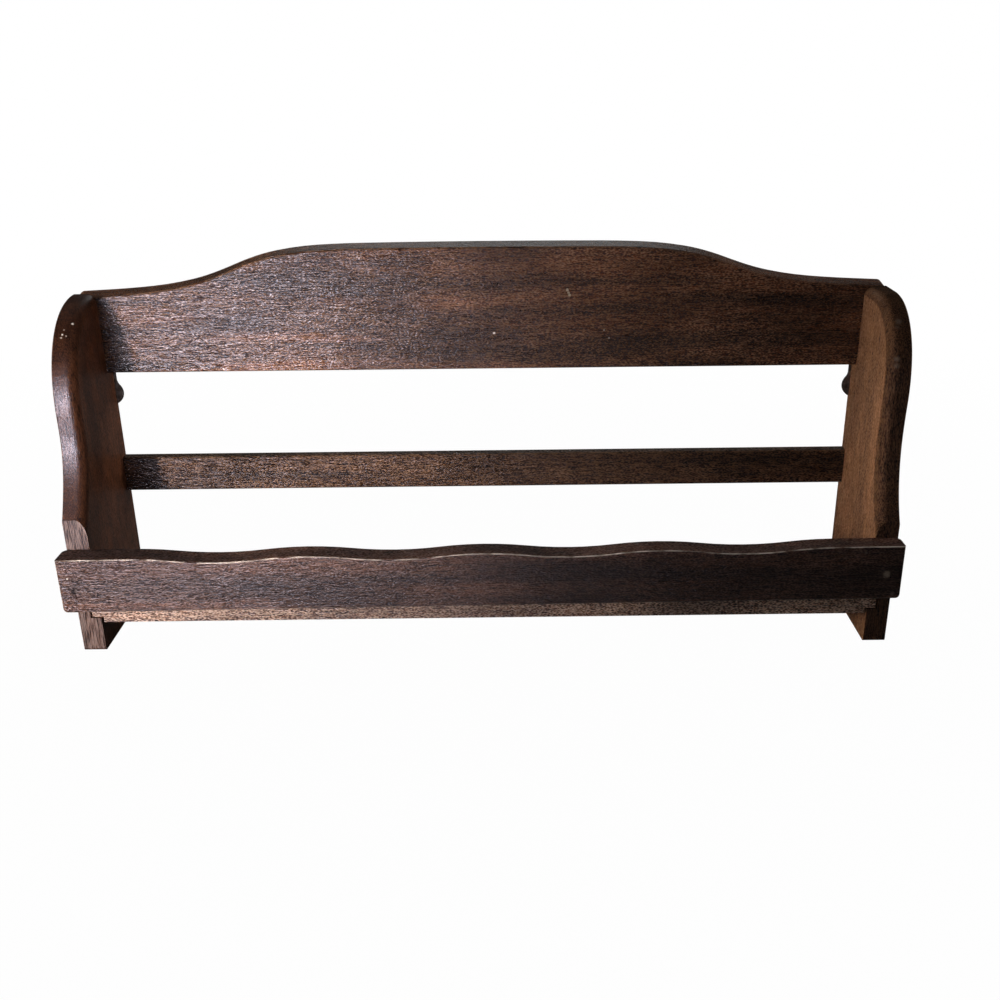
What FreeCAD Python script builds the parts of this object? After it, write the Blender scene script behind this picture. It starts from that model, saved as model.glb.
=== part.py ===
"""Wall spice rack in dark-stained hardwood: two scrolled sides, a serpentine crest and a wavy guard rail.

Lengths are in millimetres. X runs to the right, Y towards the wall and Z up, so the front faces -Y.
Heights are measured from the soles of the feet and depths from the wall while the pieces are made.
The finished pieces are then dropped so that the origin lies on the wall, midway between the two
hanging eyes.
"""
import FreeCAD
import Part
import math
import os

# Carcass
inner_width = 379.0
side_thickness = 10.9
side_depth = 66.0
shoulder_height = 167.2
arris_easing = 0.6
curve_tolerance = 0.1

# Scroll of each side's front edge: both were sawn by hand to one pattern and differ a little
left_shoulder_run = 10.6
left_belly_depth = 52.4
left_belly_height = 118.2
left_lip_height = 70.8
right_shoulder_run = 23.3
right_belly_depth = 56.7
right_belly_height = 127.1
right_lip_height = 65.0
belly_fullness = 0.59
waist_pull = 11.4
lip_pull = 29.3
lip_angle = 31.0
round_over = 5.0
toe_easing = 1.2

# Crest board, let into the back of both sides: its top slopes to the front, and its ends were sawn unequal
crest_thickness = 8.8
crest_drop = 40.1
left_crest_proud = -0.3
right_crest_proud = 1.5
crest_rise = 22.4
crest_top_fall = 1.6
crest_shoulder_run = 16.5
crest_shoulder_rise = 0.8
ogee_run = 124.8
ogee_pull = 77.8
crown_sag = 0.3
crest_corner = 3.0

# Lower back rail, let into the back of both sides
back_rail_thickness = 5.5
back_rail_bottom = 61.8
back_rail_height = 18.4

# Shelf, housed by a tongue, cut away underneath, in a groove whose mouth was torn a little low
shelf_thickness = 13.0
shelf_depth = 50.0
shelf_bottom = 15.9
tongue_undercut = 2.9
tongue_reach = 4.1
shoulder_gap = 1.3
groove_end_gap = 1.0
groove_clearance = 0.15
tear_depth = 6.0
tear_drop = 0.6

# Front guard rail, pinned across the fronts of both sides
left_rail_thickness = 12.3
right_rail_thickness = 10.1
rail_bottom = 28.4
rail_height = 27.8
rail_slope = 0.2
left_rail_overhang = 1.5
right_rail_overhang = 0.6
wave_span = 336.0
wave_count = 4
wave_dip = 2.4
rail_end_round = 3.2
rail_foot_round = 2.0
rail_arris_round = 0.8

# Hanger plates, let in flush with the back
plate_thickness = 1.2
plate_inset = 2.5
plate_drop = 12.8
plate_span = 26.0
disc_radius = 6.3
neck_width = 7.4
neck_fillet = 5.0
eye_radius = 2.75
eye_pocket_radius = 4.75
eye_pocket_depth = 4.0
mortise_clearance = 0.15

# Nails for the wood and tacks for the hanger plates, with round heads and shanks drawn as flat facets
pin_facets = 12
nail_head_radius = 1.5
nail_head_thickness = 0.8
nail_shank_radius = 0.8
nail_length = 22.0
nail_set = 0.4
tack_head_radius = 1.45
tack_head_thickness = 0.6
tack_shank_radius = 0.7
tack_length = 12.0
tack_set = 0.1
hole_clearance = 0.05
crest_nail_edge = 5.5
crest_nail_spacing = 10.0
left_pin_height = 39.4
right_pin_height = 41.9
shelf_nail_edge = 12.0
crest_tack_height = 4.6

# Places that follow from the sizes above
inner_half = inner_width / 2
outer_half = inner_half + side_thickness
side_middle = inner_half + side_thickness / 2
crest_bottom = shoulder_height - crest_drop
crest_crown_height = shoulder_height + crest_rise
shelf_top = shelf_bottom + shelf_thickness
tongue_bottom = shelf_bottom + tongue_undercut
rail_left = -outer_half - left_rail_overhang
rail_right = outer_half + right_rail_overhang
plate_x = inner_half + plate_inset
disc_height = crest_bottom - plate_drop
eye_height = disc_height + plate_span

LEFT = -1
RIGHT = 1
SIDES = (LEFT, RIGHT)
TO_WALL = FreeCAD.Vector(0, 1, 0)
FROM_WALL = FreeCAD.Vector(0, -1, 0)
UP = FreeCAD.Vector(0, 0, 1)


def point(x, y, z):
    return FreeCAD.Vector(x, y, z)


def line(start, end):
    return Part.LineSegment(start, end).toShape()


def arc(start, middle, end):
    return Part.Arc(start, middle, end).toShape()


def sweep_curve(start, start_pull, end_pull, end):
    """Tangent arcs along a smooth curve between two points, drawn off towards a pull point at each end."""
    curve = Part.BezierCurve()
    curve.setPoles([start, start_pull, end_pull, end])
    return [piece.toShape() for piece in curve.toBSpline().toBiArcs(curve_tolerance)]


def prism(edges, push):
    """Solid made by pushing a closed flat outline along a vector."""
    return Part.Face(Part.Wire(edges)).extrude(push)


def block(x_range, y_range, z_range):
    """Box between two limits on each axis, given in any order."""
    low = point(min(x_range), min(y_range), min(z_range))
    high = point(max(x_range), max(y_range), max(z_range))
    size = high - low
    return Part.makeBox(size.x, size.y, size.z, low)


def rounded(solid, radius, is_chosen):
    """The solid with the chosen edges rounded."""
    return solid.makeFillet(radius, [edge for edge in solid.Edges if is_chosen(edge)])


def planed(solid, width, is_chosen):
    """The solid with the chosen edges taken off by one flat stroke."""
    return solid.makeChamfer(width, [edge for edge in solid.Edges if is_chosen(edge)])


def lies_at_depth(edge, depth):
    """True for an edge that lies in the plane at this depth in front of the wall."""
    box = edge.BoundBox
    return max(abs(box.YMin + depth), abs(box.YMax + depth)) < 0.01


def faceted_rod(radius, length, start, along):
    """Level rod of many flat sides."""
    across = along.cross(UP)
    turns = [2 * math.pi * corner / pin_facets for corner in range(pin_facets + 1)]
    rim = [start + (across * math.cos(turn) + UP * math.sin(turn)) * radius for turn in turns]
    return Part.Face(Part.makePolygon(rim)).extrude(along * length)


def headed_pin(surface_point, inward, head_radius, head_thickness, shank_radius, length, set_below):
    """Flat-headed pin driven into a surface, with its head a little below it."""
    head_top = surface_point + inward * set_below
    head = faceted_rod(head_radius, head_thickness, head_top, inward)
    shank_top = head_top + inward * head_thickness
    shank = faceted_rod(shank_radius, length - head_thickness, shank_top, inward)
    return head.fuse(shank)


def nail(surface_point, inward):
    return headed_pin(surface_point, inward, nail_head_radius, nail_head_thickness,
                      nail_shank_radius, nail_length, nail_set)


def nail_hole(surface_point, inward):
    """Room for a nail, open at the surface."""
    return headed_pin(surface_point, inward, nail_head_radius + hole_clearance,
                      nail_set + nail_head_thickness, nail_shank_radius + hole_clearance,
                      nail_set + nail_length + hole_clearance, 0)


def tack(surface_point, inward):
    return headed_pin(surface_point, inward, tack_head_radius, tack_head_thickness,
                      tack_shank_radius, tack_length, tack_set)


def tack_hole(surface_point, inward):
    """Room for a tack, open at the surface."""
    return headed_pin(surface_point, inward, tack_head_radius + hole_clearance,
                      tack_set + tack_head_thickness, tack_shank_radius + hole_clearance,
                      tack_set + tack_length + hole_clearance, 0)


def crest_nail_places():
    """Two nails at each end of the crest, from behind, above the hanger plates."""
    top = shoulder_height - crest_nail_edge
    heights = (top, top - crest_nail_spacing)
    return [(point(side * side_middle, 0, z), FROM_WALL) for side in SIDES for z in heights]


def back_rail_nail_places():
    """One nail at each end of the lower back rail, from behind."""
    z = back_rail_bottom + back_rail_height / 2
    return [(point(side * side_middle, 0, z), FROM_WALL) for side in SIDES]


def shelf_nail_places():
    """Two nails through each side into the end of the shelf."""
    z = (tongue_bottom + shelf_top) / 2
    front = -side_depth + shelf_nail_edge
    back = -side_depth + shelf_depth - shelf_nail_edge
    return [(point(side * outer_half, y, z), point(-side, 0, 0)) for side in SIDES for y in (front, back)]


def rail_front(x):
    """Depth of the front rail's face, which tapers evenly from its left end to its right."""
    share = (x - rail_left) / (rail_right - rail_left)
    return -side_depth - left_rail_thickness - share * (right_rail_thickness - left_rail_thickness)


def rail_pin_places():
    """One pin at each end of the front rail, driven into the front edge of the side."""
    heights = ((LEFT, left_pin_height), (RIGHT, right_pin_height))
    return [(point(side * side_middle, rail_front(side * side_middle), z), TO_WALL) for side, z in heights]


def tack_places():
    """Two tacks in each hanger plate: one in its disc and one in its neck, above the crest's lower edge."""
    heights = (disc_height, crest_bottom + crest_tack_height)
    return [(point(side * plate_x, 0, z), FROM_WALL) for side in SIDES for z in heights]


def plate_solid(side, thickness, growth):
    """Hanger plate shape: a disc, a narrower neck and a second disc, with hollow curves between them."""
    radius = disc_radius + growth
    half_neck = neck_width / 2 + growth
    fillet = neck_fillet - growth
    centre_x = half_neck + fillet
    centre_z = math.sqrt((radius + fillet) ** 2 - centre_x ** 2)
    share = radius / (radius + fillet)
    turn = math.pi + math.atan2(centre_z, centre_x) / 2
    top = plate_span

    def at(x, z):
        return point(side * plate_x + x, 0, disc_height + z)

    def hollow_middle(x_sign, z_sign, base):
        return at(x_sign * (centre_x + fillet * math.cos(turn)),
                  base + z_sign * (centre_z + fillet * math.sin(turn)))

    low_right = at(centre_x * share, centre_z * share)
    low_left = at(-centre_x * share, centre_z * share)
    neck_low_right = at(half_neck, centre_z)
    neck_low_left = at(-half_neck, centre_z)
    neck_high_right = at(half_neck, top - centre_z)
    neck_high_left = at(-half_neck, top - centre_z)
    high_right = at(centre_x * share, top - centre_z * share)
    high_left = at(-centre_x * share, top - centre_z * share)
    outline = [
        arc(low_left, at(0, -radius), low_right),
        arc(low_right, hollow_middle(1, 1, 0), neck_low_right),
        line(neck_low_right, neck_high_right),
        arc(neck_high_right, hollow_middle(1, -1, top), high_right),
        arc(high_right, at(0, top + radius), high_left),
        arc(high_left, hollow_middle(-1, -1, top), neck_high_left),
        line(neck_high_left, neck_low_left),
        arc(neck_low_left, hollow_middle(-1, 1, 0), low_left),
    ]
    return prism(outline, FROM_WALL * thickness)


def plate_mortise(side):
    """Recess for a hanger plate, with the pocket behind its eye for the head of the wall screw."""
    recess = plate_solid(side, plate_thickness, mortise_clearance)
    pocket_mouth = point(side * plate_x, 0, eye_height)
    pocket = Part.makeCylinder(eye_pocket_radius, plate_thickness + eye_pocket_depth, pocket_mouth, FROM_WALL)
    return recess.fuse(pocket)


def hanger_plate(side):
    """Pressed steel plate with a round eye in its upper disc."""
    plate = plate_solid(side, plate_thickness, 0)
    eye = Part.makeCylinder(eye_radius, plate_thickness, point(side * plate_x, 0, eye_height), FROM_WALL)
    return plate.cut([eye] + [tack_hole(*place) for place in tack_places()])


def side_panel(side, shoulder_run, belly_depth, belly_height, lip_height):
    """Side with a belly above, a hollow waist and a stop lip, its inner arris rounded along the scroll."""
    x = side * inner_half
    back_foot = point(x, 0, 0)
    toe = point(x, -side_depth, 0)
    lip = point(x, -side_depth, lip_height)
    belly = point(x, -belly_depth, belly_height)
    shoulder = point(x, -shoulder_run, shoulder_height)
    back_top = point(x, 0, shoulder_height)
    lean = math.radians(lip_angle)
    lip_aim = lip + point(0, math.sin(lean), math.cos(lean)) * lip_pull
    waist_aim = belly - point(0, 0, waist_pull)
    belly_aim = belly + point(0, 0, belly_fullness * (shoulder_height - belly_height))
    shoulder_aim = shoulder - point(0, belly_fullness * (belly_depth - shoulder_run), 0)
    outline = [
        line(back_foot, toe),
        line(toe, lip),
        *sweep_curve(lip, lip_aim, waist_aim, belly),
        *sweep_curve(belly, belly_aim, shoulder_aim, shoulder),
        line(shoulder, back_top),
        line(back_top, back_foot),
    ]
    panel = prism(outline, point(side * side_thickness, 0, 0))

    def is_scroll_arris(edge, face_x):
        middle = edge.CenterOfMass
        return abs(middle.x - face_x) < 0.01 and middle.z > lip_height and -side_depth < middle.y < -0.01

    def is_toe(edge):
        return abs(edge.CenterOfMass.z) < 0.01 and abs(edge.CenterOfMass.y + side_depth) < 0.01

    outer_x = side * outer_half
    panel = rounded(panel, round_over, lambda edge: is_scroll_arris(edge, x))
    panel = planed(panel, arris_easing, lambda edge: is_scroll_arris(edge, outer_x))
    panel = rounded(panel, toe_easing, is_toe)
    across = (x, outer_x)
    groove_end = side * (inner_half + tongue_reach + groove_end_gap)
    crest_notch = block(across, (-crest_thickness, 0), (crest_bottom, shoulder_height))
    rail_notch = block(across, (-back_rail_thickness, 0),
                       (back_rail_bottom, back_rail_bottom + back_rail_height))
    groove = block((x, groove_end), (-side_depth, -side_depth + shelf_depth),
                   (tongue_bottom, shelf_top + groove_clearance))
    torn_mouth = block((x, groove_end), (-side_depth, -side_depth + tear_depth),
                       (tongue_bottom - tear_drop, tongue_bottom))
    places = crest_nail_places() + back_rail_nail_places() + shelf_nail_places() + rail_pin_places()
    holes = [nail_hole(*place) for place in places] + [tack_hole(*place) for place in tack_places()]
    return panel.cut([crest_notch, rail_notch, groove, torn_mouth, plate_mortise(side)] + holes)


def crest_board():
    """Full-width back board with a serpentine top that slopes to the front, flush with the back of both sides."""
    foot_x = outer_half - crest_shoulder_run
    head_x = foot_x - ogee_run
    head_z = crest_crown_height - crown_sag
    foot_slope = crest_shoulder_rise / crest_shoulder_run
    head_slope = 2 * crown_sag / head_x
    low_z = crest_bottom - crest_top_fall

    def half_outline(side, proud):
        """One half's outline, from the head of its ogee outwards and down to the lower edge."""
        end_z = shoulder_height + proud
        foot_z = end_z + crest_shoulder_rise
        head = point(side * head_x, 0, head_z)
        foot = point(side * foot_x, 0, foot_z)
        end = point(side * outer_half, 0, end_z)
        head_aim = point(side * (head_x + ogee_pull), 0, head_z - ogee_pull * head_slope)
        foot_aim = point(side * (foot_x - ogee_pull), 0, foot_z + ogee_pull * foot_slope)
        return [
            *sweep_curve(head, head_aim, foot_aim, foot),
            line(foot, end),
            line(end, point(side * outer_half, 0, low_z)),
        ]

    crown = arc(point(-head_x, 0, head_z), point(0, 0, crest_crown_height), point(head_x, 0, head_z))
    foot_line = line(point(outer_half, 0, low_z), point(-outer_half, 0, low_z))
    right_half = half_outline(RIGHT, right_crest_proud)
    left_half = half_outline(LEFT, left_crest_proud)
    outline = [crown] + right_half + [foot_line] + left_half[::-1]
    board = prism(outline, point(0, -crest_thickness, -crest_top_fall))
    above_foot = block((-outer_half, outer_half), (-crest_thickness, 0), (crest_bottom, crest_crown_height))
    board = board.common(above_foot)

    def is_top_corner(edge):
        middle = edge.CenterOfMass
        runs_back = edge.BoundBox.YLength > crest_thickness / 2
        return runs_back and abs(abs(middle.x) - outer_half) < 0.01 and middle.z > crest_bottom + crest_drop / 2

    board = rounded(board, crest_corner, is_top_corner)
    board = planed(board, arris_easing, lambda edge: lies_at_depth(edge, crest_thickness))
    holes = [nail_hole(*place) for place in crest_nail_places()]
    holes += [tack_hole(*place) for place in tack_places()]
    return board.cut([plate_mortise(side) for side in SIDES] + holes)


def lower_back_rail():
    """Plain full-width strip behind the jars, flush with the back of both sides."""
    rail = block((-outer_half, outer_half), (-back_rail_thickness, 0),
                 (back_rail_bottom, back_rail_bottom + back_rail_height))
    rail = planed(rail, arris_easing, lambda edge: lies_at_depth(edge, back_rail_thickness))
    return rail.cut([nail_hole(*place) for place in back_rail_nail_places()])


def shelf_board():
    """Shelf flush with the fronts of the sides, undercut at both ends to leave the tongues."""
    tongue_end = inner_half + tongue_reach
    front = -side_depth
    back = front + shelf_depth
    board = block((-tongue_end, tongue_end), (front, back), (shelf_bottom, shelf_top))
    undercuts = [block((side * (inner_half - shoulder_gap), side * tongue_end), (front, back),
                       (shelf_bottom, tongue_bottom)) for side in SIDES]
    return board.cut(undercuts + [nail_hole(*place) for place in shelf_nail_places()])


def wavy_edge(y):
    """Top edge of the front rail, from left to right: level ends and equal dips made of tangent arcs."""
    top = rail_bottom + rail_height
    mean = top - wave_dip / 2
    start = -wave_span / 2
    quarter = wave_span / wave_count / 4
    radius = (quarter ** 2 + (wave_dip / 2) ** 2) / wave_dip
    half_way = quarter / 2
    fall = radius - math.sqrt(radius ** 2 - half_way ** 2)
    edges = [line(point(rail_left, y, top), point(start, y, top))]
    for wave in range(wave_count):
        left = start + 4 * quarter * wave
        down = point(left + quarter, y, mean)
        trough = point(left + 2 * quarter, y, top - wave_dip)
        up = point(left + 3 * quarter, y, mean)
        edges += [
            arc(point(left, y, top), point(left + half_way, y, top - fall), down),
            arc(down, trough, up),
            arc(up, point(left + 4 * quarter - half_way, y, top - fall), point(left + 4 * quarter, y, top)),
        ]
    edges.append(line(point(-start, y, top), point(rail_right, y, top)))
    return edges


def front_rail():
    """Guard rail with a waved top and a tapering thickness, overhanging both sides and a little out of level."""
    back = -side_depth
    top = rail_bottom + rail_height
    high_right = point(rail_right, back, top)
    low_right = point(rail_right, back, rail_bottom)
    low_left = point(rail_left, back, rail_bottom)
    high_left = point(rail_left, back, top)
    front_left = point(rail_left, rail_front(rail_left), rail_bottom)
    front_right = point(rail_right, rail_front(rail_right), rail_bottom)
    outline = wavy_edge(back) + [line(high_right, low_right), line(low_right, low_left), line(low_left, high_left)]
    rail = prism(outline, FROM_WALL * max(left_rail_thickness, right_rail_thickness))
    corners = [low_left, low_right, front_right, front_left, low_left]
    plan = prism([line(start, end) for start, end in zip(corners, corners[1:])], UP * rail_height)

    def is_end(edge):
        x = edge.CenterOfMass.x
        return min(abs(x - rail_left), abs(x - rail_right)) < 0.01

    def is_low_corner(edge):
        return is_end(edge) and abs(edge.CenterOfMass.z - rail_bottom) < 0.01

    def is_front_arris(edge):
        ends = [vertex.Point for vertex in edge.Vertexes] + [edge.CenterOfMass]
        return max(abs(end.y - rail_front(end.x)) for end in ends) < 0.01

    def is_back_end(edge):
        return is_end(edge) and abs(edge.CenterOfMass.y - back) < 0.01

    rail = rounded(rail, rail_foot_round, is_low_corner).common(plan)
    rail = rounded(rail, rail_arris_round, is_front_arris)
    rail = rail.common(rounded(plan, rail_end_round, is_back_end))
    rail.rotate(point(0, back, rail_bottom + rail_height / 2), FROM_WALL, rail_slope)
    return rail.cut([nail_hole(*place) for place in rail_pin_places()])


def fasteners(make, places):
    """One compound of separate, equal fasteners."""
    return Part.makeCompound([make(*place) for place in places])


pieces = {
    "left_side_panel": side_panel(LEFT, left_shoulder_run, left_belly_depth, left_belly_height, left_lip_height),
    "right_side_panel": side_panel(RIGHT, right_shoulder_run, right_belly_depth, right_belly_height,
                                   right_lip_height),
    "crest_board": crest_board(),
    "lower_back_rail": lower_back_rail(),
    "shelf_board": shelf_board(),
    "front_rail": front_rail(),
    "left_hanger_plate": hanger_plate(LEFT),
    "right_hanger_plate": hanger_plate(RIGHT),
    "crest_nails": fasteners(nail, crest_nail_places()),
    "back_rail_nails": fasteners(nail, back_rail_nail_places()),
    "shelf_nails": fasteners(nail, shelf_nail_places()),
    "front_rail_pins": fasteners(nail, rail_pin_places()),
    "hanger_tacks": fasteners(tack, tack_places()),
}

os.makedirs("parts", exist_ok=True)
for name, shape in pieces.items():
    shape.translate(point(0, 0, -eye_height))
    shape.exportStep("parts/" + name + ".step")
    print(name, "solids", len(shape.Solids), "valid", shape.isValid(), "volume", round(shape.Volume, 1))
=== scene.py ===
"""Looks of a wall spice rack: open-pored mahogany under dark stain and worn varnish, with dull steel fixings."""
import math

import bpy
from mathutils import Matrix, Vector


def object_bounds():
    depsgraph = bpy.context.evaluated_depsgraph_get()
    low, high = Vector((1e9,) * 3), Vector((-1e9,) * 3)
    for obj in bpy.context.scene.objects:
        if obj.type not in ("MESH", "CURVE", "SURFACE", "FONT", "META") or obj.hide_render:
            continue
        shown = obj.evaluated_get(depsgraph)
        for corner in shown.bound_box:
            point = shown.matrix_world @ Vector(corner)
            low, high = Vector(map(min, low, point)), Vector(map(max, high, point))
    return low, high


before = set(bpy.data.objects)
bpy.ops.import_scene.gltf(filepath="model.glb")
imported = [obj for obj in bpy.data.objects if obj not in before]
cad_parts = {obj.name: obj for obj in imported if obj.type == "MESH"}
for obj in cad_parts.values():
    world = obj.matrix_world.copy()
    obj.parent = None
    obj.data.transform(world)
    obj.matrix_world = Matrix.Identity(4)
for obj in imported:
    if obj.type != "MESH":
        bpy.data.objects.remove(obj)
cad_low, cad_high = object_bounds()

# Side panels: two boards of mahogany with upright grain, sawn to a scroll and rounded along the inner arris.
# They carry every other board in notches and grooves. They were stained dark and brushed with thin varnish,
# which pooled to a gloss on the scrolled edge of the left board.
MM = 1000.0
ALONG_X = 0
ALONG_Z = 2
ACROSS_X = "X"
ACROSS_Y = "Y"
SHARE, UNDER, OVER = 0, 6, 7  # sockets of a Mix node that is set to colours


def linear(code):
    """Linear colour of an sRGB hex code, with full alpha."""
    channels = [int(code[start:start + 2], 16) / 255 for start in (1, 3, 5)]
    return [c / 12.92 if c <= 0.04045 else ((c + 0.055) / 1.055) ** 2.4 for c in channels] + [1.0]


def add(tree, kind, inputs=None, **settings):
    """A node of this kind with its settings. An input is a value, a socket, or a node whose live output is taken."""
    node = tree.nodes.new("ShaderNode" + kind)
    for name, value in settings.items():
        setattr(node, name, value)
    for name, value in (inputs or {}).items():
        if isinstance(value, bpy.types.Node):
            value = next(socket for socket in value.outputs if socket.enabled)
        if isinstance(value, bpy.types.NodeSocket):
            tree.links.new(value, node.inputs[name])
        else:
            node.inputs[name].default_value = value
    return node


def new_material(name):
    """An empty node material with its output."""
    material = bpy.data.materials.new(name)
    material.use_nodes = True
    material.node_tree.nodes.clear()
    return material, material.node_tree, add(material.node_tree, "OutputMaterial")


def stained_mahogany(name, grain_axis, thickness_axis, start, stain, streak, pore, bare,
                     wear=0.7, rubbed_from=0.38, gloss=0.5, sheen=0.45, crepe=1.0, thready=1.0, relief_mm=0.18,
                     uneven=1.0, painted_top_light=1.0, edge=1.0, dust=0.3, painted_sheen_below_mm=None, rub_and_highlight=None, marks=()):
    """Open-pored hardwood under dark stain and thin varnish: the eye sees a fine crepe of broken fibres, short
    dark pores and long streaks along the grain, slow bands of tone, a soft sheen that the fibres break into
    glints, dull dusty tops and paler, rubbed arrises. The start moves the pattern, so that no two boards are alike.
    Marks are small chips, smudges and painted shadows, each with its place and radius in mm, its colour, and how much
    it covers."""
    material, tree, output = new_material(name)
    place = add(tree, "TexCoord").outputs["Object"]

    # Patches of the grain: length along it and width across it in mm, detail and distortion. Pores and fibre
    # ends are drawn coarser than the real 0.3 and 0.2 mm, so that they show
    figure = {"bands": (160, 9, 3.0, 0.0), "blotches": (60, 22, 2.0, 0.0), "streaks": (45, 1.1, 2.0, 0.3),
              "pores": (7, 0.42, 1.0, 0.2), "fibres": (1.2, 0.42, 0.0, 0.0), "rubbing": (9, 4, 2.0, 0.0)}
    cut_angle = 0.6  # radians about the grain, since the boards are sawn aslant through the growth rings
    slant_cut = [0.0] * 3
    slant_cut[grain_axis] = cut_angle
    grain = {}
    for pattern, (length_mm, width_mm, detail, distortion) in figure.items():
        scale = [MM / width_mm] * 3
        scale[grain_axis] = MM / length_mm
        patch = add(tree, "Mapping", {
            "Vector": place, "Location": start, "Rotation": slant_cut, "Scale": scale})
        grain[pattern] = add(tree, "TexNoise", {
            "Vector": patch, "Scale": 1.0, "Detail": detail, "Distortion": distortion}).outputs["Fac"]

    # Growth bands, long thin streaks and dark pores. The patterns average 0.5, so each ramp starts near there
    band = add(tree, "MapRange", {"Value": grain["bands"], "From Min": 0.4, "From Max": 0.6})
    tone = add(tree, "Mix", {SHARE: band, UNDER: linear(stain), OVER: linear(streak)}, data_type="RGBA")
    thread = add(tree, "MapRange", {
        "Value": grain["streaks"], "From Min": 0.5, "From Max": 0.72, "To Max": min(0.4 * thready, 0.9)})
    tone = add(tree, "Mix", {SHARE: thread, UNDER: tone, OVER: linear(pore)}, data_type="RGBA")
    dash = add(tree, "MapRange", {
        "Value": grain["pores"], "From Min": 0.5, "From Max": 0.66, "To Max": min(0.65 * thready, 0.95)})
    tone = add(tree, "Mix", {SHARE: dash, UNDER: tone, OVER: linear(pore)}, data_type="RGBA")

    # Crepe: bare wood shows along the raised fibres and at their broken ends, and the stain lies dark between them
    ridge = add(tree, "MapRange", {
        "Value": grain["pores"], "From Min": 0.5, "From Max": 0.34, "To Max": min(0.28 * thready, 0.9)})
    tone = add(tree, "Mix", {SHARE: ridge, UNDER: tone, OVER: linear(bare)}, data_type="RGBA")
    hollow = add(tree, "MapRange", {
        "Value": grain["fibres"], "From Min": 0.5, "From Max": 0.34, "To Min": 1.0, "To Max": 1.0 - 0.65 * crepe})
    tone = add(tree, "VectorMath", {0: tone, "Scale": hollow}, operation="SCALE")
    fleck = add(tree, "MapRange", {
        "Value": grain["fibres"], "From Min": 0.5, "From Max": 0.66, "To Max": 0.75 * crepe})
    tone = add(tree, "Mix", {SHARE: fleck, UNDER: tone, OVER: linear(bare)}, data_type="RGBA")

    # Growth bands again, which also show through the fibres, and blotches where the stain took unevenly
    banded = add(tree, "MapRange", {
        "Value": grain["bands"], "From Min": 0.4, "From Max": 0.6,
        "To Min": 1.0 - 0.2 * uneven, "To Max": 1.0 + 0.2 * uneven})
    tone = add(tree, "VectorMath", {0: tone, "Scale": banded}, operation="SCALE")
    blotch = add(tree, "MapRange", {
        "Value": grain["blotches"], "From Min": 0.38, "From Max": 0.62,
        "To Min": 1.0 + 0.2 * uneven, "To Max": 1.0 - 0.35 * uneven})
    tone = add(tree, "VectorMath", {0: tone, "Scale": blotch}, operation="SCALE")

    # Faces turned up have their tone scaled by the top factor, a painted light on the tops; faces turned from the
    # board's face, the round-over and the sawn edges, are darkened by the edge factor
    normal = add(tree, "NewGeometry").outputs["True Normal"]
    turned = add(tree, "SeparateXYZ", {0: normal}).outputs
    upward = add(tree, "MapRange", {"Value": turned["Z"], "From Min": 0.75, "From Max": 0.97})
    painted_top_tone = add(tree, "MapRange", {"Value": upward, "To Min": 1.0, "To Max": painted_top_light})
    tone = add(tree, "VectorMath", {0: tone, "Scale": painted_top_tone}, operation="SCALE")
    facing = add(tree, "Math", {0: turned[thickness_axis]}, operation="ABSOLUTE")
    sawn = add(tree, "MapRange", {
        "Value": facing, "From Min": 0.999, "From Max": 0.985, "To Min": 1.0, "To Max": edge})
    tone = add(tree, "VectorMath", {0: tone, "Scale": sawn}, operation="SCALE")

    # Rubbed arrises, where the surface turns between the face and the edge of the board, the upper ones most. A
    # near-white rub colour is partly this wear and partly a painted highlight
    squared = add(tree, "Math", {0: facing, 1: facing}, operation="MULTIPLY")
    edgewise = add(tree, "Math", {0: add(tree, "Math", {0: 1.0, 1: squared}, operation="SUBTRACT")}, operation="SQRT")
    slant = add(tree, "Math", {0: facing, 1: edgewise}, operation="MULTIPLY")
    arris = add(tree, "MapRange", {"Value": slant, "From Min": 0.26, "From Max": 0.46})
    rubbed = add(tree, "MapRange", {
        "Value": grain["rubbing"], "From Min": rubbed_from, "From Max": rubbed_from + 0.22, "To Max": wear})
    within_reach = add(tree, "MapRange", {
        "Value": turned["Z"], "From Min": 0.1, "From Max": 0.4, "To Min": 0.3, "To Max": 1.0})
    handled = add(tree, "Math", {0: rubbed, 1: within_reach}, operation="MULTIPLY")
    worn = add(tree, "Math", {0: arris, 1: handled}, operation="MULTIPLY")
    tone = add(tree, "Mix", {SHARE: worn, UNDER: tone, OVER: linear(rub_and_highlight or bare)}, data_type="RGBA")

    # Low down on the front faces, a grey mixed in between the pores is a painted sheen, and the varnish there is made
    # duller
    painted_sheen_grey = "#a8948c"
    painted_sheen_and_dull_front = 0.0
    if painted_sheen_below_mm is not None:
        height = add(tree, "SeparateXYZ", {0: place}).outputs["Z"]
        sheen_low_down = add(tree, "MapRange", {
            "Value": height, "From Min": painted_sheen_below_mm / MM, "From Max": (painted_sheen_below_mm - 1.0) / MM, "To Max": 0.5})
        forward = add(tree, "MapRange", {"Value": turned["Y"], "From Min": -0.97, "From Max": -0.99})
        between_pores = add(tree, "MapRange", {"Value": grain["pores"], "From Min": 0.6, "From Max": 0.36})
        sheen_between_pores = add(tree, "Math", {0: sheen_low_down, 1: between_pores}, operation="MULTIPLY")
        painted_sheen_and_dull_front = add(tree, "Math", {0: sheen_between_pores, 1: forward}, operation="MULTIPLY")
        tone = add(tree, "Mix", {SHARE: painted_sheen_and_dull_front, UNDER: tone, OVER: linear(painted_sheen_grey)}, data_type="RGBA")

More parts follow.
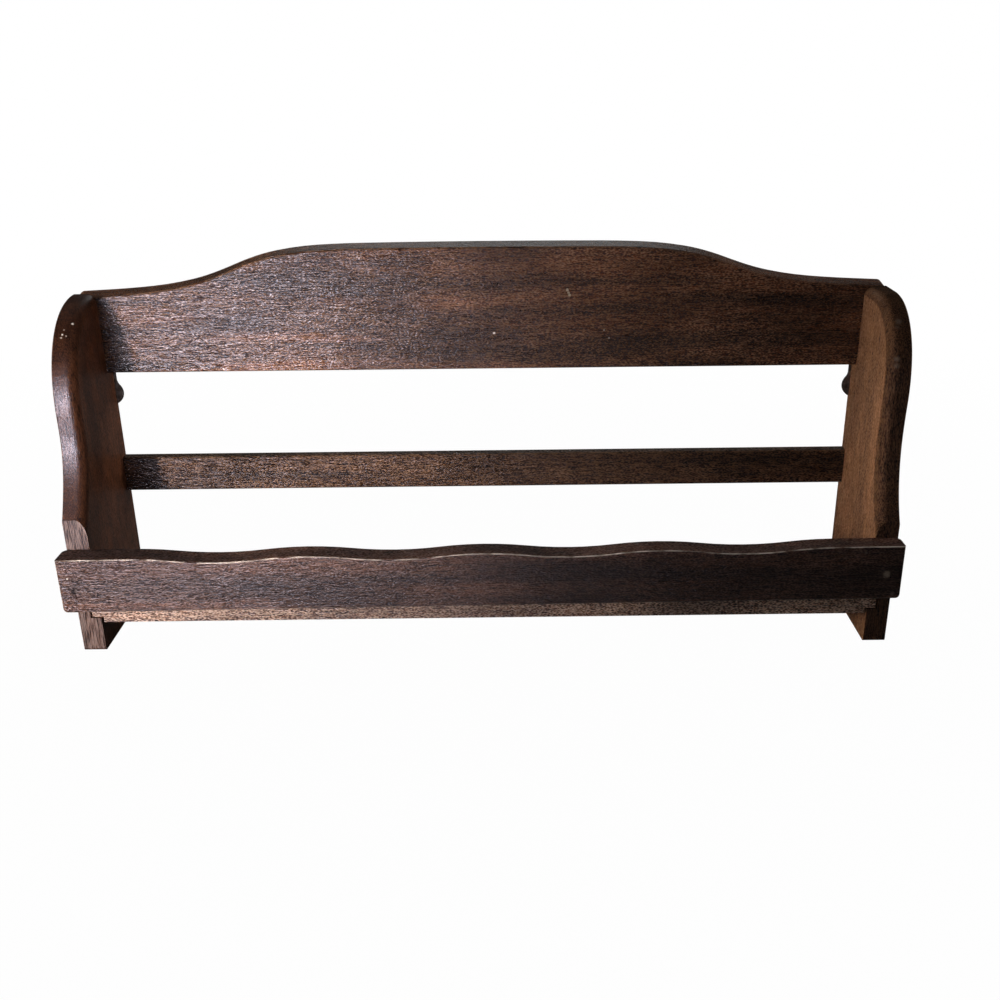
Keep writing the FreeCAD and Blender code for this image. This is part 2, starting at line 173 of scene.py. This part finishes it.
    # Chips that show pale wood or filler, smudges of dust, and a painted shadow round a pin, all matt and ragged
    # where they meet the fibres.
    # With the fibres at 0.5, a mark is full within 0.45 of its radius and ends at 1.05
    matt = 0.0
    for mark_mm, radius_mm, colour, strength in marks:
        gap = add(tree, "VectorMath", {0: place, 1: Vector(mark_mm) / MM}, operation="DISTANCE")
        ragged = add(tree, "Math", {0: grain["fibres"], 1: 0.9 * radius_mm / MM, 2: gap}, operation="MULTIPLY_ADD")
        cover = add(tree, "MapRange", {
            "Value": ragged, "From Min": 1.5 * radius_mm / MM, "From Max": 0.9 * radius_mm / MM,
            "To Max": strength})
        tone = add(tree, "Mix", {SHARE: cover, UNDER: tone, OVER: linear(colour)}, data_type="RGBA")
        matt = add(tree, "Math", {0: matt, 1: cover}, operation="MAXIMUM")

    # Varnish: thin, so that raised fibres and sunken pores still break the sheen. It is dull with dust where the
    # wood faces up, and gone where the wood is parched or marked
    pore_sink = -0.6
    relief = add(tree, "Math", {0: dash, 1: pore_sink, 2: grain["fibres"]}, operation="MULTIPLY_ADD")
    bump = add(tree, "Bump", {"Height": relief, "Strength": 1.0, "Distance": relief_mm / MM})
    varnish = add(tree, "MapRange", {
        "Value": grain["fibres"], "From Min": 0.3, "From Max": 0.7,
        "To Min": gloss + 0.1 * crepe, "To Max": gloss - 0.1 * crepe})
    dull = add(tree, "Math", {0: upward, 1: dust, 2: varnish}, operation="MULTIPLY_ADD")
    dull = add(tree, "Math", {0: painted_sheen_and_dull_front, 1: 0.4, 2: dull}, operation="MULTIPLY_ADD")
    dull = add(tree, "Math", {0: matt, 1: 0.5, 2: dull}, operation="MULTIPLY_ADD")
    wood = add(tree, "BsdfPrincipled", {
        "Base Color": tone, "Roughness": dull, "IOR": 1.5, "Specular IOR Level": sheen, "Normal": bump})
    tree.links.new(wood.outputs[0], output.inputs["Surface"])
    return material


def dress(node, material):
    """The node's own object takes the material as its only slot."""
    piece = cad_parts[node]
    piece.data.materials.clear()
    piece.data.materials.append(material)


bare_chip = "#f2ece6"
dull_chip = "#cdbdb2"
stop_lip_mm = -69.0
edge_chips = [((-192.4, -34.9, 18.2), 0.7, bare_chip, 1.0), ((-195.6, -38.1, 16.1), 0.45, dull_chip, 0.9),
              ((-196.0, -39.8, 14.3), 0.6, bare_chip, 1.0), ((-194.2, -40.3, 13.7), 0.45, dull_chip, 0.9),
              ((-196.4, -41.0, 13.0), 0.55, "#e0d4ca", 0.9)]
left_board = stained_mahogany(
    "mahogany_left_side", ALONG_Z, ACROSS_X, (3.1, 7.7, 0.4), "#4a2818", "#5a341e", "#120a07", "#7e5540",
    wear=0.15, gloss=0.36, sheen=0.5, crepe=0.5, thready=1.6, relief_mm=0.05, uneven=0.6, edge=0.75,
    painted_sheen_below_mm=stop_lip_mm, marks=edge_chips)
dress("left_side_panel", left_board)

dust_smudge = "#8a7c72"
scroll_smudges = [((195.0, -45.6, 17.7), 1.8, dust_smudge, 0.35), ((194.2, -47.0, 14.9), 1.3, dust_smudge, 0.25),
                  ((193.2, -54.4, 2.1), 1.6, dust_smudge, 0.35), ((193.3, -55.1, -0.9), 1.6, dust_smudge, 0.3)]
right_board = stained_mahogany(
    "mahogany_right_side", ALONG_Z, ACROSS_X, (11.3, 2.2, 5.4), "#664430", "#7a5439", "#1e120b", "#9c7658",
    wear=0.1, gloss=0.6, sheen=0.2, crepe=0.55, thready=1.5, relief_mm=0.2, uneven=0.3, edge=0.42,
    marks=scroll_smudges)
dress("right_side_panel", right_board)

# Shelf: a board of the same wood, housed in stopped grooves in the sides and nailed through them.
# Its sawn front edge took little stain and is left nearly bare, mottled cream and tan.
shelf_wood = stained_mahogany(
    "mahogany_thin_stain_shelf", ALONG_X, ACROSS_Y, (1.7, 4.2, 9.4), "#9a644a", "#b2866c", "#4c2a1e", "#d4bcac",
    wear=0.5, gloss=0.4, sheen=0.45, crepe=1.25, thready=2.2)
dress("shelf_board", shelf_wood)

# Lower back rail: a plain planed strip of mahogany, let into the back of both sides.
# It is nailed from behind, and its face is the dullest and greyest of the boards.
back_rail_wood = stained_mahogany(
    "mahogany_back_rail", ALONG_X, ACROSS_Y, (8.1, 0.3, 2.9), "#26150c", "#50321c", "#160d08", "#866a56",
    wear=0.4, gloss=0.33, sheen=0.24, crepe=0.95, thready=2.0, relief_mm=0.24)
dress("lower_back_rail", back_rail_wood)

# Crest: a wide mahogany board sawn to a serpentine top, the most even and open-grained of them.
# It is let into the back of both sides and nailed from behind, and its top arris has been rubbed in dusting.
crest_face_mm = -8.8
scratch = "#bfae96"
grey_nick = "#b5a89c"
crest_chips = [((6.2, crest_face_mm, 5.2), 0.7, "#f6f0ea", 1.0), ((-59.3, crest_face_mm, 6.1), 0.45, "#e0d6cc", 0.9),
               ((42.6, crest_face_mm, 26.4), 0.8, scratch, 0.9), ((43.2, crest_face_mm, 25.1), 0.8, scratch, 0.7),
               ((43.7, crest_face_mm, 23.8), 0.8, scratch, 0.9), ((61.1, crest_face_mm, 6.1), 0.5, grey_nick, 0.8),
               ((63.7, crest_face_mm, 2.0), 0.5, grey_nick, 0.8)]
crest_wood = stained_mahogany(
    "mahogany_crest", ALONG_X, ACROSS_Y, (0.0, 0.0, 0.0), "#3d1f14", "#784528", "#2c170e", "#9c7a64",
    wear=0.4, gloss=0.26, sheen=0.39, crepe=1.05, thready=1.8, relief_mm=0.17, dust=0.0, marks=crest_chips)
dress("crest_board", crest_wood)

# Nails and tacks: soft steel wire, cut and headed cold, driven by hand and set just below the wood.
# They hold the crest, the back rail, the shelf, the front rail and the hanger plates.


def dull_steel(name, bright, dark, gloss):
    """Steel that has lost its polish: a grey-brown skin, darker in patches, with a soft broad shine."""
    patch_mm = 2.5
    pit_mm = 0.08
    material, tree, output = new_material(name)
    place = add(tree, "TexCoord").outputs["Object"]
    patches = add(tree, "TexNoise", {"Vector": place, "Scale": MM / patch_mm, "Detail": 4.0}).outputs["Fac"]
    spotted = add(tree, "MapRange", {"Value": patches, "From Min": 0.35, "From Max": 0.65})
    tone = add(tree, "Mix", {SHARE: spotted, UNDER: linear(bright), OVER: linear(dark)}, data_type="RGBA")
    dull = add(tree, "MapRange", {"Value": patches, "To Min": gloss - 0.1, "To Max": gloss + 0.15})
    bump = add(tree, "Bump", {"Height": patches, "Strength": 0.3, "Distance": pit_mm / MM})
    steel = add(tree, "BsdfPrincipled", {"Base Color": tone, "Metallic": 1.0, "Roughness": dull, "Normal": bump})
    tree.links.new(steel.outputs[0], output.inputs["Surface"])
    return material


nail_steel = dull_steel("steel_dull_wire", "#70635a", "#40362f", 0.55)
for node in ("crest_nails", "back_rail_nails", "shelf_nails", "front_rail_pins", "hanger_tacks"):
    dress(node, nail_steel)

# Hanger plates: two keyhole-shaped plates of pressed sheet steel, gone dark with age.
# Each is let in flush with the back of a side panel and held by two tacks.
plate_steel = dull_steel("steel_tarnished_sheet", "#756a60", "#50473e", 0.6)
for node in ("left_hanger_plate", "right_hanger_plate"):
    dress(node, plate_steel)

# Front rail: a thin mahogany batten with a waved top, pinned over the fronts of the sides.
# It is handled the most, so the stain has gone from the arris of its top along the whole length. The near-white of
# that arris is partly this wear and partly a painted highlight, and its top faces are painted lighter.
# The dark ring round the left pin is a painted shadow in its recess.
painted_pin_shadow = "#140b07"
right_pin_dust = "#a39484"
scuff = "#7d7268"
rail_marks = [((-194.95, -78.3, -100.9), 2.9, painted_pin_shadow, 0.9), ((-197.2, -78.3, -94.4), 0.5, bare_chip, 1.0),
              ((193.4, -76.1, -98.1), 2.2, right_pin_dust, 0.7), ((182.1, -76.2, -86.5), 0.8, scuff, 0.6),
              ((172.6, -76.3, -89.1), 0.7, scuff, 0.5), ((197.1, -76.1, -108.4), 1.1, scuff, 0.5)]
rail_wood = stained_mahogany(
    "mahogany_front_rail", ALONG_X, ACROSS_Y, (5.9, 1.1, 3.3), "#3a1e10", "#542f18", "#1c100a", "#766058",
    wear=0.95, rubbed_from=0.36, gloss=0.36, sheen=0.42, crepe=0.85, thready=2.0, relief_mm=0.22, painted_top_light=1.25,
    rub_and_highlight="#e4d8ce", marks=rail_marks)
dress("front_rail", rail_wood)

# Stage: a sheet of white paper under the feet and a white room behind.
# The paper is white to the camera, and in mirrored light far behind, and keeps the rack's shadow near the feet.
floor_half = 4.0
backdrop_from, backdrop_full = 0.8, 2.0
shadow_near, shadow_end = 0.2, 0.7
near_white = 0.985
corners = [(-floor_half, -floor_half, 0), (floor_half, -floor_half, 0),
           (floor_half, floor_half, 0), (-floor_half, floor_half, 0)]
paper_mesh = bpy.data.meshes.new("paper_floor")
paper_mesh.from_pydata([Vector(corner) + Vector((0, 0, cad_low.z)) for corner in corners], [], [(0, 1, 2, 3)])
paper_floor = bpy.data.objects.new("paper_floor", paper_mesh)
bpy.context.scene.collection.objects.link(paper_floor)
paper, tree, output = new_material("paper_matt_white")
path = add(tree, "LightPath").outputs
lit = add(tree, "BsdfDiffuse", {"Color": linear("#707070")})
white = add(tree, "Emission", {"Color": linear("#ffffff"), "Strength": 1.0})
mirrored = add(tree, "Math", {0: path["Is Glossy Ray"], 1: path["Is Transmission Ray"]}, operation="MAXIMUM")
floor_place = add(tree, "TexCoord").outputs["Object"]
depth = add(tree, "SeparateXYZ", {0: floor_place}).outputs["Y"]
far_back = add(tree, "MapRange", {"Value": depth, "From Min": backdrop_from, "From Max": backdrop_full})
mirrored_far = add(tree, "Math", {0: mirrored, 1: far_back}, operation="MULTIPLY")
seen = add(tree, "Math", {0: path["Is Camera Ray"], 1: mirrored_far}, operation="MAXIMUM")
distance = add(tree, "VectorMath", {0: floor_place}, operation="LENGTH")
whiteness = add(tree, "MapRange", {
    "Value": distance, "From Min": shadow_near, "From Max": shadow_end, "To Min": near_white, "To Max": 1.0})
mostly_white = add(tree, "Math", {0: seen, 1: whiteness}, operation="MULTIPLY")
mixed = add(tree, "MixShader", {0: mostly_white, 1: lit.outputs[0], 2: white.outputs[0]})
tree.links.new(mixed.outputs[0], output.inputs["Surface"])
paper_mesh.materials.append(paper)

# Room: white to the camera, with a white backdrop behind the rack that shiny surfaces mirror only there.
# The rest of the room is dim and adds a faint cool fill.
world = bpy.data.worlds.new("white_room")
world.use_nodes = True
tree = world.node_tree
tree.nodes.clear()
path = add(tree, "LightPath").outputs
mirrored = add(tree, "Math", {0: path["Is Glossy Ray"], 1: path["Is Transmission Ray"]}, operation="MAXIMUM")

# The backdrop takes up the directions that point backward, not high up and not far to the sides
looking = add(tree, "SeparateXYZ", {0: add(tree, "TexCoord").outputs["Generated"]}).outputs
backward = add(tree, "MapRange", {"Value": looking["Y"], "From Min": 0.0, "From Max": 0.4})
low_down = add(tree, "MapRange", {"Value": looking["Z"], "From Min": 0.85, "From Max": 0.35})
sideways = add(tree, "Math", {0: looking["X"]}, operation="ABSOLUTE")
between = add(tree, "MapRange", {"Value": sideways, "From Min": 0.3, "From Max": 0.1})
above = add(tree, "Math", {0: backward, 1: low_down}, operation="MULTIPLY")
behind = add(tree, "Math", {0: above, 1: between}, operation="MULTIPLY")
backdrop_share = add(tree, "Math", {0: mirrored, 1: behind}, operation="MULTIPLY")
shown = add(tree, "Math", {0: path["Is Camera Ray"], 1: backdrop_share}, operation="MAXIMUM")
fill = add(tree, "Background", {"Color": linear("#e4e8f0"), "Strength": 0.03})
backdrop = add(tree, "Background", {"Color": linear("#ffffff"), "Strength": 1.0})
mixed = add(tree, "MixShader", {0: shown, 1: fill.outputs[0], 2: backdrop.outputs[0]})
tree.links.new(mixed.outputs[0], add(tree, "OutputWorld").inputs["Surface"])
bpy.context.scene.world = world

# Lamps: a strip at the front left and a window at the left make the photograph's light, and a wide card by the
# strip gives the sheen only. Two faint cards reach the inner faces of the side panels. The last three light the
# back, the right side and the tops, and hardly touch the fronts.


def soft_box(name, place, aim, width, height, watts, colour, spread, glint=True, matt=True):
    """Lamp of this width and height, in metres, turned from its place to its aim, with its spread in degrees.
    It lights the gloss, the matt surface or both."""
    lamp = bpy.data.lights.new(name, "AREA")
    lamp.shape = "RECTANGLE"
    lamp.size = width
    lamp.size_y = height
    lamp.energy = watts
    lamp.color = linear(colour)[:3]
    lamp.spread = math.radians(spread)
    box = bpy.data.objects.new(name, lamp)
    box.location = place
    box.rotation_euler = (Vector(aim) - Vector(place)).to_track_quat("-Z", "Y").to_euler()
    box.visible_camera = False
    box.visible_glossy = glint
    box.visible_diffuse = matt
    bpy.context.scene.collection.objects.link(box)


soft_box("front_left_strip", (-0.35, -0.50, -0.06), (-0.1, 0.0, -0.055),
         width=0.04, height=0.14, watts=0.205, colour="#fff2e6", spread=40, glint=False)
soft_box("front_left_sheen", (-0.27, -0.50, -0.06), (-0.1, 0.0, -0.055),
         width=0.26, height=0.14, watts=0.56, colour="#eceaff", spread=60, matt=False)
soft_box("left_window", (-1.2, -0.17, 0.05), (0.15, -0.02, -0.06),
         width=0.3, height=0.3, watts=1.7, colour="#fff6ee", spread=60, glint=False)
soft_box("right_front_card", (0.9, -0.2, 0.05), (-0.19, -0.03, 0.0),
         width=0.05, height=0.05, watts=0.015, colour="#fff0e4", spread=14, glint=False)
soft_box("left_low_card", (-0.9, -0.2, -0.05), (0.19, -0.03, -0.08),
         width=0.05, height=0.05, watts=0.025, colour="#fff6ee", spread=14, glint=False)
soft_box("back_box", (0.0, 1.2, 0.05), (0.0, 0.0, -0.06),
         width=0.4, height=0.2, watts=2.0, colour="#ffffff", spread=90, glint=False)
soft_box("right_card", (1.2, 0.15, 0.16), (0.0, 0.0, -0.03),
         width=0.2, height=0.2, watts=0.65, colour="#ffffff", spread=60, glint=False)
soft_box("top_box", (-0.45, 0.2, 0.75), (-0.05, 0.0, -0.05),
         width=0.3, height=0.3, watts=0.28, colour="#ffffff", spread=90, glint=False)

# Camera: fitted to the photograph's edges, with its optical axis a little off the middle of the frame.
# It stands in front of the rack, above its top, and looks down on it.
camera_mm = (13.97, -548.22, 138.21)
camera_pitch = 22.18
camera_yaw = 0.30
camera_roll = -0.54
frame_px = 1000
focal_px = 1100.28
axis_px = (516.82, 493.88)
lens = bpy.data.cameras.new("photo_camera")
lens.sensor_width = 36.0
lens.lens = lens.sensor_width * focal_px / frame_px
lens.shift_x = 0.5 - axis_px[0] / frame_px
lens.shift_y = axis_px[1] / frame_px - 0.5
camera = bpy.data.objects.new("photo_camera", lens)
turn = Matrix.Rotation(math.radians(-camera_yaw), 4, "Z")
tilt = Matrix.Rotation(math.radians(90 - camera_pitch), 4, "X")
roll = Matrix.Rotation(math.radians(camera_roll), 4, "Z")
camera.matrix_world = Matrix.Translation(Vector(camera_mm) / MM) @ turn @ tilt @ roll
bpy.context.scene.collection.objects.link(camera)
bpy.context.scene.camera = camera
bpy.context.scene.view_settings.view_transform = "Standard"
